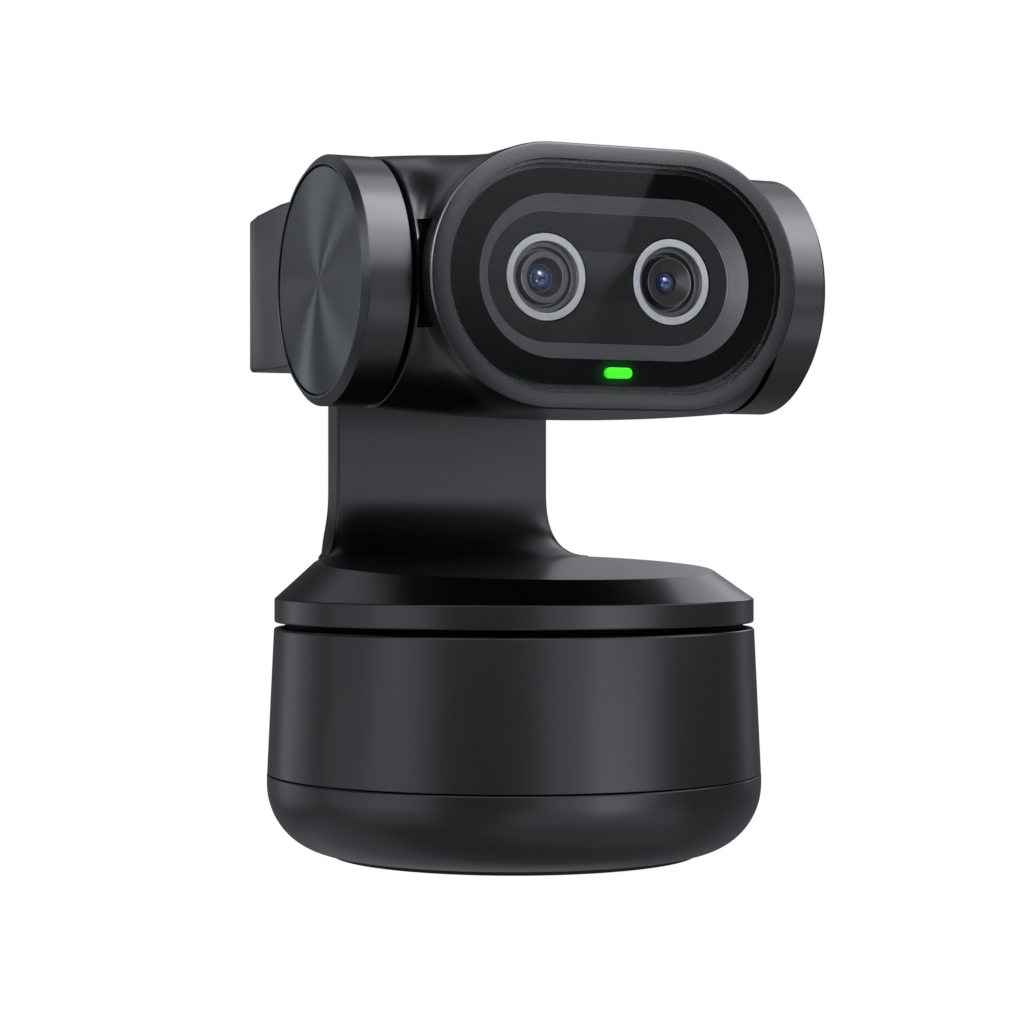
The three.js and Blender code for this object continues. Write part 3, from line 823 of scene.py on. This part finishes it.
# ---------------------------------------------------------------- tilting head
SHELL_FRONT = 14.55  # the shell's flat front, forwards of the tilt axis
END_ROUND = 0.16  # edge radius of its end faces
HEAD = (0, AXIS_Y, AXIS_Z)


def barrel_radius(x):
    """The head's barrel swells from its end faces to the middle."""
    return 13.4 + 1.0 * (1 - np.minimum(np.abs(x) / HEAD_END, 1) ** 2)


def head_field(p):
    """Barrel along the tilt axis and the oblong front, with a concave blend where they meet at an angle."""
    radial = np.hypot(p[:, 1], p[:, 2])
    over = np.maximum(np.abs(p[:, 0]) - BEZEL_STRAIGHT, 0)
    round_end = np.hypot(over, p[:, 2])
    alike = p[:, 2] ** 2 / np.maximum(radial * round_end, 1e-6)
    wide = 5.0 * np.clip(1 - alike, 0, 1) ** 0.6 + 1e-3
    room = np.hypot(HEAD_END - BEZEL_STRAIGHT, p[:, 2]) - BEZEL_R + 0.02
    blend = (wide**-4 + room**-4) ** -0.25
    forward = -p[:, 1]
    front = np.maximum(round_end - BEZEL_R, -forward - 2)
    return round_union(radial - barrel_radius(p[:, 0]), front, blend)


def build_head_shell():
    """Rays cast to the head's field, cut flat in front, with the window and a pocket at each side."""
    end = HEAD_END
    near_end = end - np.array([0.0, 0.02, 0.05, 0.1, 0.16, 0.3, 0.5, 0.7, 0.9, 1.1, 1.3, 1.5])
    xs = np.concatenate([near_end, np.linspace(end - 1.7, 5, 70), np.linspace(4.6, 0, 8)])
    xs = np.concatenate([xs[:-1], [0], -xs[:-1][::-1]])
    angles = np.linspace(0, 2 * math.pi, 220, endpoint=False)
    heading = np.column_stack([np.zeros_like(angles), -np.cos(angles), np.sin(angles)])
    rings = []
    for x in xs:
        origins = np.zeros((len(angles), 3))
        origins[:, 0] = x
        reach = cast(head_field, origins, heading, 24)
        drop = max(0.0, abs(x) - (end - END_ROUND))
        reach -= END_ROUND - math.sqrt(max(0.0, END_ROUND**2 - drop**2))
        rings.append(origins + heading * reach[:, None])
    caps = [rings[0] * [1, 0.2, 0.2], rings[-1] * [1, 0.2, 0.2]]
    verts, faces = skin([caps[0], *rings, caps[1]])
    count = len(angles)
    faces.append(tuple(range(count)))
    faces.append(tuple(range(len(verts) - count, len(verts)))[::-1])
    shell = made(
        "head_body", (verts + np.array(HEAD), faces), "camera_head", "head_shell", "head_shell",
        material=SATIN, sharp=40
    )
    half = end + 2
    cut(shell, block((-half, AXIS_Y - 30, AXIS_Z - half), (half, AXIS_Y - SHELL_FRONT, AXIS_Z + half)))
    window = [(0, 4), (11.3, 4), (11.3, SHELL_FRONT + 1), (0, SHELL_FRONT + 1)]
    cut(shell, oblong_lathe(window, GLASS_STRAIGHT, 96, HEAD))
    pocket = 5.6
    for side in (-1, 1):
        for inner, outer, depth in ((18.2, end + 0.5, 12.95), (18.2, end - 0.24, 12.0)):
            x0, x1 = sorted((side * inner, side * outer))
            low = (x0, AXIS_Y - SHELL_FRONT + 0.3, AXIS_Z - pocket)
            cut(shell, block(low, (x1, AXIS_Y - depth, AXIS_Z + pocket)))


PANE_GAP_R = GLASS_R + 0.1  # the bezel's inner edge
RECESS_OUT, RECESS_IN, RECESS_DEPTH = 8.59, 6.84, 1.7
MASK_STRAIGHT = 7.3


def build_bezel():
    """The oblong ring round the glass, its face crowned towards the glass."""
    grow = BEZEL_STRAIGHT - GLASS_STRAIGHT
    back = SHELL_FRONT + 0.08
    inside, crown = PANE_GAP_R, 0.13
    face = []
    for r in np.linspace(inside, BEZEL_R, 9):
        face.append((r, FACE - crown * ((r - inside) / (BEZEL_R - inside)) ** 2))
    edge = fillet([(BEZEL_R, back + 0.2), (BEZEL_R, FACE - crown, 0.6), face[5]], steps=8)[1:-1]
    ring = [(11.8, back), (BEZEL_R - 0.06, back), (BEZEL_R, back + 0.06), *edge, *face[5::-1]]
    ring += [(inside - 0.02, FACE - 0.03), (inside - 0.03, FACE - 0.6), (11.8, FACE - 0.6)]
    verts, faces = oblong_lathe(ring, GLASS_STRAIGHT, 160)
    # the outline's straight part is a little longer outside than round the glass
    radius = np.hypot(np.maximum(np.abs(verts[:, 0]) - GLASS_STRAIGHT, 0), verts[:, 2])
    share = np.clip((radius - inside) / (BEZEL_R - inside), 0, 1)
    verts[:, 0] += np.sign(verts[:, 0]) * grow * share
    made(
        "bezel", (verts + np.array(HEAD), faces), "camera_head", "head_shell", "front_bezel",
        material=BEZEL
    )


def build_front():
    """The glass, and behind it the mask, its grooved recess and the plate with the two lens holes."""
    face = AXIS_Y - GLASS_LOW[1]
    rear = AXIS_Y - GLASS_HIGH[1]
    edge = PANE_GAP_R - 0.02
    pane = fillet([(0, rear), (edge, rear, 0), (edge, face, 0.02), (0, face)], steps=3)
    made(
        "front_pane", oblong_lathe(pane, GLASS_STRAIGHT, 128, HEAD), "camera_head", "front_glass",
        "cover_glass", material=PANE
    )
    mask_low, mask_high = span("lens_mask")
    mask_r = (mask_high[2] - mask_low[2]) / 2
    mask_face = AXIS_Y - mask_low[1]
    mask_back = mask_face - 0.6
    border = [(RECESS_OUT, mask_back), (mask_r, mask_back), (mask_r, mask_face), (RECESS_OUT, mask_face)]
    made(
        "mask", oblong_lathe(border, MASK_STRAIGHT, 128, HEAD), "camera_head", "mask_black",
        "lens_mask", material=PRINT_AND_PAINTED_LIGHT
    )
    grooves = 10
    step, drop = (RECESS_IN - RECESS_OUT) / grooves, RECESS_DEPTH / grooves
    bevel = []
    for k in range(grooves + 1):
        r, h = RECESS_OUT - 0.02 + step * k, mask_face - 0.05 - drop * k
        bevel.append((r, h))
        if k < grooves:
            bevel.append((r + step * 0.6, h - drop * 0.25))
    dish_r, dish_back, dish_front = RECESS_OUT + 0.6, mask_face - 2.8, mask_face - 0.65
    dish = [(RECESS_IN, dish_back), (dish_r, dish_back), (dish_r, dish_front), (RECESS_OUT, dish_front)]
    made(
        "recess", oblong_lathe([*dish, *bevel], MASK_STRAIGHT, 128, HEAD), "camera_head", "mask_black",
        material=DISH, sharp=12
    )
    plate_low, _ = span("lens_plate")
    plate_face = AXIS_Y - plate_low[1]
    plate_r, hole_r = RECESS_IN - 0.05, 4.75
    plate = [(0, plate_face - 1), (plate_r, plate_face - 1), (plate_r, plate_face), (0, plate_face)]
    board = made(
        "inner_plate", oblong_lathe(plate, MASK_STRAIGHT, 96, HEAD), "camera_head", "lens_plate_black",
        "lens_plate", material=PLATE
    )
    back, front = plate_face - 2, plate_face + 1
    for side in (-1, 1):
        hole = [(0, back), (hole_r, back), (hole_r, front), (0, front)]
        cut(board, lathe(hole, 96, "F", (side * LENS_X, AXIS_Y, AXIS_Z), closed=False))


# Each barrel's rim and inner cone, the depth of the trench round it, and its front element's edge and rise.
BARREL_FRONT = {
    "left": [(2.78, 13.72, 0.1), (2.05, 13.72, 0.06), (1.95, 13.4, 0.04), (1.5, 12.35, 0)],
    "right": [(2.63, 13.75, 0.08), (2.5, 13.72, 0.04), (1.22, 12.85, 0.04), (1.2, 12.4, 0)],
}
TRENCH = {"left": 12.6, "right": 12.2}
ELEMENT_EDGE = {"left": 12.3, "right": 12.5}
ELEMENT_RISE = {"left": 0.75, "right": 0.6}


def build_lenses():
    """Silver rings, turned barrels and domed front elements; heights run forwards from the tilt axis."""
    for word, side in (("left", -1), ("right", 1)):
        centre = (side * LENS_X, AXIS_Y, AXIS_Z)
        ring = fillet(
            [(3.74, 13.2, 0), (4.62, 13.2, 0), (4.62, 14.08, 0.08), (3.74, 14.08, 0.08)],
            closed=True,
            steps=3,
        )
        made(
            word + "_ring", lathe(ring, 96, "F", centre), "camera_head", "lens_ring_silver",
            word + "_lens_ring", material=SILVER
        )
        trench = TRENCH[word]
        barrel = fillet(
            [
                (0, 5.3),
                (3.5, 5.3, 0.1),
                (3.5, 12.0, 0),
                (3.72, 12.0, 0),
                (3.72, 13.4, 0.05),
                (3.2, 13.4, 0.06),
                (3.1, trench, 0.05),
                (2.85, trench, 0.05),
                *BARREL_FRONT[word],
                (0, 12.15),
            ],
            steps=4,
        )
        made(
            word + "_barrel", lathe(barrel, 128, "F", centre, closed=False), "camera_head",
            "mask_black", word + "_lens_barrel", material=TURNED, sharp=24
        )
        r, edge, rise = ELEMENT_R[word], ELEMENT_EDGE[word], ELEMENT_RISE[word]
        dome = [(0, 12.16), (r, 12.16), (r, edge)]
        for t in np.linspace(0.12, math.pi / 2, 16):
            dome.append((r * math.cos(t), edge + rise * math.sin(t)))
        made(
            word + "_element", lathe(dome, 96, "F", centre, closed=False), "camera_head",
            "lens_coated_glass", word + "_lens_glass", material=COATING_AND_REFLECTION[word]
        )


def build_status_light():
    """The light pipe, a pill whose face stands just proud of the glass."""
    low, high = span("status_led")
    middle = (low + high) / 2
    grow = 0.03
    r = (high[2] - low[2]) / 2 + grow
    straight = high[0] - r + 2 * grow
    face = AXIS_Y - GLASS_LOW[1] + 0.02
    pill = fillet([(0, face - 2), (r, face - 2, 0), (r, face, 0.1), (0, face)], steps=3)
    made(
        "light_pipe", oblong_lathe(pill, straight, 48, (0, AXIS_Y, middle[2])), "camera_head",
        "status_green", "status_led", material=GLOW
    )


# ---------------------------------------------------------------- kept CAD nodes
KEPT = {
    "steel_parts": STEEL,
    "aluminium_parts": ALUMINIUM,
    "circuit_board": BOARD,
    "flex_film": FLEX,
    "mask_black": BLACK,
}


def dress_kept_nodes():
    """Finishes for the CAD nodes that stay: motors, bearings, boards, screws, cable."""
    for row in frame["record"]["subparts"]:
        node = frame["nodes"][row["node"]]
        if node.hide_render:
            continue
        node.data.materials.clear()
        node.data.materials.append(KEPT[row["material_slot"]])


# ---------------------------------------------------------------- stage, lights and camera
WORLD_STRENGTH = 0.17
VIEW_AZIMUTH = math.radians(25.05)
VIEW_DISTANCE = 0.3085
VIEW_HEIGHT = 0.0377
TOWARDS = Vector((-math.sin(VIEW_AZIMUTH), -math.cos(VIEW_AZIMUTH), 0))
RIGHT = Vector((math.cos(VIEW_AZIMUTH), -math.sin(VIEW_AZIMUTH), 0))


def build_camera():
    """The photographer's camera: level, with a long lens and a small shift for the framing."""
    data = bpy.data.cameras.new("camera")
    data.sensor_width = 36
    data.lens = 95.37
    data.shift_x = -0.0020
    data.shift_y = 0.0084
    data.clip_start, data.clip_end = 0.01, 10
    camera = bpy.data.objects.new("camera", data)
    camera.location = TOWARDS * VIEW_DISTANCE + Vector((0, 0, VIEW_HEIGHT))
    camera.rotation_euler = (math.pi / 2, 0, -VIEW_AZIMUTH)
    bpy.context.scene.collection.objects.link(camera)
    bpy.context.scene.camera = camera


# Softboxes by the pieces they light: (azimuths right of the camera, elevation, (width, height), radiance),
# with every angle in degrees. One row is a ring of equal boxes.
LIGHTS = {
    "lower": [
        ((-30, 10), 20, (34, 24), 0.9),  # the soft front
        ((50,), 20, (34, 24), 0.65),
        ((90,), 20, (34, 24), 1.55),
        ((-120, -80), -6, (30, 22), 0.35),  # the surround, level with the base
        ((-52, 28), -6, (30, 22), 0.55),
        ((41, 52), -3, (12, 10), 1.1),  # a bright window on the right
        ((62,), -3, (12, 10), 0.65),
        ((42, 53), -14, (13, 12), 0.9),
        ((-128, 136), -3, (12, 10), 0.28),  # slivers on both edges
        ((-56, 66), 6.5, (12, 9), 1.0),  # both sides of the chamfer
        ((-60, 20, 60), -24, (42, 22), 0.25),  # light from the table, further and further down
        ((-135, 45), -50, (80, 40), 0.14),
        ((150,), 17, (18, 12), 1.9),  # behind
        ((-140, 150), 46, (48, 28), 0.37),
    ],
    "upper": [
        ((-30,), 20, (34, 24), 4.8),  # the key, on the left
        ((-32,), 31, (22, 16), 4.3),
        ((-80,), -6, (30, 22), 2.1),  # its fill
        ((-70,), 20, (34, 24), 0.7),
        ((-20,), 46, (48, 28), 1.8),  # the ceiling
        ((95,), 46, (48, 28), 2.2),
        ((-45, 84), 49, (26, 18), 1.1),
        ((52,), 49, (26, 18), 3.5),
        ((45,), 68, (40, 16), 3.5),
        ((105,), 68, (40, 16), 2.2),
        ((34,), 31, (22, 16), 1.8),  # the window on the right
        ((56,), 31, (22, 16), 2.9),
        ((48,), 17, (18, 12), 2.2),
        ((66, -120), 17, (18, 12), 0.65),
        ((90,), 20, (34, 24), 1.0),
        ((52,), -3, (12, 10), 1.6),
        ((60,), -24, (42, 22), 0.6),  # light from the table
        ((-135, 45), -50, (80, 40), 0.14),
        ((-150,), 20, (34, 24), 0.12),  # behind
        ((-150, -128), 6.5, (12, 9), 0.45),
        ((-128,), -3, (12, 10), 0.55),
        ((-140, 40), 46, (48, 28), 0.35),
        ((150,), 46, (48, 28), 0.6),
    ],
    "table": [((145,), 33, (18, 14), 1.6), ((166,), 19, (16, 14), 0.8), ((178,), 6.5, (14, 9), 0.65)],
    "lenses": [((40,), 26, (12, 12), 16), ((22,), -8, (6, 6), 14)],
    "discs": [((-114,), 0, (9, 1.5), 22), ((-119,), 9, (9, 4), 4)],
    "inside": [((16,), 4, (44, 30), 12)],
    "edge": [((-41,), 4, (6, 40), 7)],
}
# What the named groups light; "lower" lights the rest of the base and neck too, "upper" all the others.
LIT = {
    "table": ("turntable", "neck"),
    "lenses": ("left_element", "right_element"),
    "inside": ("recess", "left_barrel", "right_barrel"),
    "edge": ("bezel",),
    "discs": ("left_spun_disc", "right_spun_disc"),
}
LOWER = ("foot_ring", "base_", "tripod_insert", "usb_c_", "turntable", "dark_skirt", "neck")
LIGHT_DISTANCE, AIM = 0.7, Vector((0, 0, 0.045))
COOL = (0.955, 0.985, 1.06)
CARD_AWAY = 1300  # how far the reflection card stands beyond the glass
CARD_ROWS = (48.5, 77.5)  # heights on the glass where its reflection starts and ends
CARD_HALF = 24
CARD_SPLIT, CARD_SLANT = 5.6, 0.455  # where the dark half starts in the top row, and its lean per millimetre


def area_light(name, azimuth, elevation, size, radiance, receivers):
    """A softbox aimed at the object that lights only the pieces in its collection."""
    width, height = size
    data = bpy.data.lights.new(name, "AREA")
    data.shape = "RECTANGLE"
    data.size = 2 * LIGHT_DISTANCE * math.tan(math.radians(width / 2))
    data.size_y = 2 * LIGHT_DISTANCE * math.tan(math.radians(height / 2))
    data.energy = radiance * math.pi * data.size * data.size_y
    data.color = COOL
    light = bpy.data.objects.new(name, data)
    a, e = math.radians(azimuth), math.radians(elevation)
    direction = (TOWARDS * math.cos(a) + RIGHT * math.sin(a)) * math.cos(e) + Vector((0, 0, math.sin(e)))
    light.location = AIM + direction * LIGHT_DISTANCE
    light.rotation_euler = (-direction).to_track_quat("-Z", "Y").to_euler()
    light.light_linking.receiver_collection = receivers
    bpy.context.scene.collection.objects.link(light)


def build_lights():
    """Sorts the pieces into the groups that the softboxes light, and places the softboxes."""
    groups = {name: bpy.data.collections.new("lit_" + name) for name in ("lower", "upper", *LIT)}
    for piece in bpy.context.scene.objects:
        if piece.type != "MESH" or piece.hide_render or piece.name in ("floor", "front_pane"):
            continue
        groups["lower" if piece.name.startswith(LOWER) else "upper"].objects.link(piece)
        for name, pieces in LIT.items():
            if piece.name in pieces:
                groups[name].objects.link(piece)
    for name, rows in LIGHTS.items():
        for azimuths, elevation, size, radiance in rows:
            for azimuth in azimuths:
                area_light(name, azimuth, elevation, size, radiance, groups[name])


def build_reflection_card():
    """A card mirrored into the cover glass: a glow fading downwards, then black beyond a slanted edge."""
    pane_y = GLASS_LOW[1]
    eye = np.array([*(TOWARDS * VIEW_DISTANCE)[:2], VIEW_HEIGHT]) / MM
    eye[1] = 2 * pane_y - eye[1]
    middle = np.array([0, pane_y, AXIS_Z])
    ahead = (middle - eye) / np.linalg.norm(middle - eye)
    reach = np.linalg.norm(middle - eye) + CARD_AWAY

    def on_card(x, z):
        ray = np.array([x, pane_y, z]) - eye
        return eye + ray * reach / (ray @ ahead)

    verts = []
    for z in np.linspace(*CARD_ROWS, 15):
        split = CARD_SPLIT - CARD_SLANT * (CARD_ROWS[1] - z)
        verts += [on_card(-CARD_HALF, z), on_card(split, z), on_card(CARD_HALF, z)]
    faces = [(i, i + 1, i + 4, i + 3) for i in range(len(verts) - 3) if i % 3 < 2]
    mesh = bpy.data.meshes.new("reflection_card")
    mesh.from_pydata((np.array(verts) * MM).tolist(), [], faces)
    card = bpy.data.objects.new("reflection_card", mesh)
    bpy.context.scene.collection.objects.link(card)
    for name, brightest in (("card_glow", 0.5), ("card_black", 0.0)):
        material = bpy.data.materials.new(name)
        nodes, links = empty_tree(material)
        output, glow = nodes.new("ShaderNodeOutputMaterial"), nodes.new("ShaderNodeEmission")
        where, split = nodes.new("ShaderNodeTexCoord"), nodes.new("ShaderNodeSeparateXYZ")
        fade = nodes.new("ShaderNodeMapRange")
        fade.interpolation_type = "SMOOTHSTEP"
        fade.inputs["From Min"].default_value = verts[3][2] * MM
        fade.inputs["From Max"].default_value = verts[-1][2] * MM
        fade.inputs["To Min"].default_value = 0.0
        fade.inputs["To Max"].default_value = brightest
        glow.inputs["Color"].default_value = (*COOL, 1)
        links.new(where.outputs["Object"], split.inputs[0])
        links.new(split.outputs["Z"], fade.inputs["Value"])
        links.new(fade.outputs[0], glow.inputs["Strength"])
        links.new(glow.outputs[0], output.inputs[0])
        mesh.materials.append(material)
    for i, polygon in enumerate(mesh.polygons):
        polygon.material_index = i % 2
    card.visible_camera = False
    card.visible_diffuse = False
    card.visible_transmission = False
    card.visible_shadow = False


def build_stage():
    """A pale floor, and a world that is white to the camera."""
    mesh = bpy.data.meshes.new("floor")
    size = 4.0
    corners = [(-size, -size, 0), (size, -size, 0), (size, size, 0), (-size, size, 0)]
    mesh.from_pydata(corners, [], [(0, 1, 2, 3)])
    floor = bpy.data.objects.new("floor", mesh)
    floor.location.z = -0.0001
    bpy.context.scene.collection.objects.link(floor)
    material, nodes, links, shader = new_material("floor")
    shader.inputs["Base Color"].default_value = (0.85, 0.85, 0.85, 1)
    shader.inputs["Roughness"].default_value = 0.9
    shader.inputs["Emission Color"].default_value = (1, 1, 1, 1)
    shader.inputs["Emission Strength"].default_value = 1.0
    floor.data.materials.append(material)
    floor.visible_glossy = False
    floor.visible_diffuse = False
    floor.visible_shadow = False

    # the object meets a dim surround instead, darkest overhead
    world = bpy.data.worlds.new("studio")
    bpy.context.scene.world = world
    nodes, links = empty_tree(world)
    output = nodes.new("ShaderNodeOutputWorld")
    seen, felt = nodes.new("ShaderNodeBackground"), nodes.new("ShaderNodeBackground")
    seen.inputs["Color"].default_value = (1, 1, 1, 1)
    felt.inputs["Strength"].default_value = WORLD_STRENGTH
    cooled = nodes.new("ShaderNodeMix")
    cooled.data_type = "RGBA"
    cooled.blend_type = "MULTIPLY"
    cooled.inputs["Factor"].default_value = 1.0
    cooled.inputs["B"].default_value = (*COOL, 1)
    where, split = nodes.new("ShaderNodeTexCoord"), nodes.new("ShaderNodeSeparateXYZ")
    height = nodes.new("ShaderNodeMapRange")
    height.inputs["From Min"].default_value = -1
    links.new(where.outputs["Generated"], split.inputs[0])
    links.new(split.outputs["Z"], height.inputs["Value"])
    shade = ramp(nodes, links, height.outputs[0], 1.0, 0.02, 0.3, 0.86)
    middle = shade.node.color_ramp.elements.new(0.55)
    middle.color = (0.6, 0.6, 0.6, 1)
    links.new(shade, cooled.inputs["A"])
    links.new(cooled.outputs["Result"], felt.inputs["Color"])
    path, mix = nodes.new("ShaderNodeLightPath"), nodes.new("ShaderNodeMixShader")
    links.new(path.outputs["Is Camera Ray"], mix.inputs[0])
    links.new(felt.outputs[0], mix.inputs[1])
    links.new(seen.outputs[0], mix.inputs[2])
    links.new(mix.outputs[0], output.inputs["Surface"])
    bpy.context.scene.view_settings.view_transform = "Standard"


build_camera()
build_stage()
build_base()
build_turntable()
build_neck()
build_housing()
build_caps()
build_head_shell()
build_bezel()
build_front()
build_lenses()
build_status_light()
dress_kept_nodes()
build_lights()
build_reflection_card()
